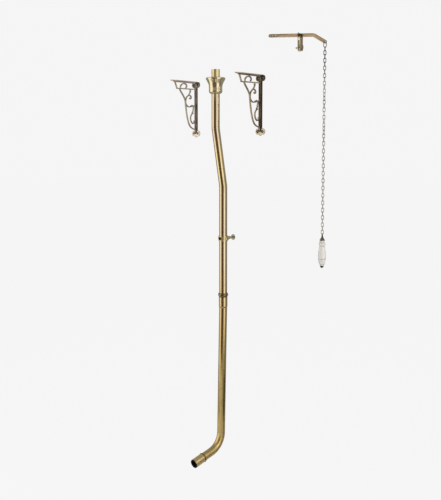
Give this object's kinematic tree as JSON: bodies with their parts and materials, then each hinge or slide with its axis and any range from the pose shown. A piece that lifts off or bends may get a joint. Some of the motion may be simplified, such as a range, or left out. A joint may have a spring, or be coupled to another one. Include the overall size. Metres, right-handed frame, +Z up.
{
  "type": "high level cistern flush pipe and pull fittings",
  "caption": "Aged brass fittings of a high level cistern: offset flush pipe with cover cup and wall clip, scrolled cistern brackets, and a pull lever with chain and ceramic grip.",
  "frame": {"origin": "centre of the flush pipe's top end", "axes": "+Z up along the pipe, +X along the wall towards the pull chain, +Y towards the wall"},
  "size_m": [0.7786, 0.2229, 1.6623],
  "materials": {
    "pipe_brass": "aged, brushed along the pipe",
    "bright_brass": "aged, polished",
    "lever_brass": "aged, satin",
    "cast_brass": "aged casting, rubbed at the edges",
    "dark_brass": "blackened",
    "steel": "dulled",
    "black_rubber": "matte",
    "glazed_white": "glazed"
  },
  "bodies": {
    "fixed": {"bracket_left": "cast_brass", "bracket_right": "cast_brass", "upper_pipe": "pipe_brass", "clip_rear_half": "bright_brass", "clip_front_half": "bright_brass", "clip_screws": "dark_brass", "clip_nuts": "dark_brass", "clip_front_screw": "dark_brass", "clip_stud": "bright_brass", "clip_rose": "cast_brass", "lever_saddle": "cast_brass", "pivot_pin": "dark_brass", "pivot_washers": "dark_brass", "pivot_split_pin": "steel"},
    "cover_cup": {"cover_cup": "bright_brass", "cup_ring": "black_rubber"},
    "slip_seal": {"joint_seal": "black_rubber"},
    "lower_pipe": {"lower_pipe": "pipe_brass", "outlet_ferrule": "pipe_brass", "outlet_seal": "black_rubber"},
    "clamp_screw": {"clamp_screw": "steel"},
    "lever": {"lever_arm": "lever_brass"},
    "lever_link": {"lever_link": "steel"},
    "handle": {"handle_rod": "dark_brass", "handle_cap": "dark_brass", "handle_grip": "glazed_white", "handle_nut": "dark_brass"},
    "chain_1": {"chain_1": "steel"},
    "chain_2": {"chain_2": "steel"},
    "chain_3": {"chain_3": "steel"},
    "chain_4": {"chain_4": "steel"},
    "chain_5": {"chain_5": "steel"}
  },
  "joints": [
    {"name": "cover_cup_slide", "type": "slide", "parent": "fixed", "child": "cover_cup", "axis": [0, 0, -1], "range_m": [0, 0.1]},
    {"name": "slip_joint_slide", "type": "slide", "parent": "fixed", "child": "slip_seal", "axis": [0, 0, -1], "range_m": [-0.004, 0.03]},
    {"name": "slip_joint_turn", "type": "hinge", "parent": "slip_seal", "child": "lower_pipe", "pos_m": [0, 0.041, -0.882], "axis": [0, 0, 1], "range_deg": [-90, 90]},
    {"name": "clamp_screw_travel", "type": "slide", "parent": "fixed", "child": "clamp_screw", "axis": [1, 0, 0], "range_m": [-0.004, 0.005]},
    {"name": "lever_pivot", "type": "hinge", "parent": "fixed", "child": "lever", "pos_m": [0.417, 0, 0.078], "axis": [0, 1, 0], "range_deg": [-8, 25]},
    {"name": "lever_link_swing", "type": "hinge", "parent": "lever", "child": "lever_link", "pos_m": [0.5222, 0, 0.04407], "axis": [0, 1, 0], "range_deg": [-25, 8]},
    {"name": "chain_1_swing", "type": "hinge", "parent": "lever_link", "child": "chain_1", "pos_m": [0.5222, 0, 0.02572], "axis": [0.342, 0.9397, 0], "range_deg": [-20, 20]},
    {"name": "chain_2_swing", "type": "hinge", "parent": "chain_1", "child": "chain_2", "pos_m": [0.5222, 0, -0.08578], "axis": [-0.7193, 0.6947, 0], "range_deg": [-20, 20]},
    {"name": "chain_3_swing", "type": "hinge", "parent": "chain_2", "child": "chain_3", "pos_m": [0.5222, 0, -0.22218], "axis": [-0.882, 0.4713, 0], "range_deg": [-20, 20]},
    {"name": "chain_4_swing", "type": "hinge", "parent": "chain_3", "child": "chain_4", "pos_m": [0.5222, 0, -0.33378], "axis": [0.7193, -0.6947, 0], "range_deg": [-20, 20]},
    {"name": "chain_5_swing", "type": "hinge", "parent": "chain_4", "child": "chain_5", "pos_m": [0.5222, 0, -0.47018], "axis": [-0.6947, -0.7193, 0], "range_deg": [-20, 20]},
    {"name": "handle_swing", "type": "hinge", "parent": "chain_5", "child": "handle", "pos_m": [0.5222, 0, -0.59418], "axis": [-0.6947, -0.7193, 0], "range_deg": [-20, 20]}
  ],
  "couplings": [
    {"joint": "lever_link_swing", "follows": "lever_pivot", "ratio": -1}
  ]
}
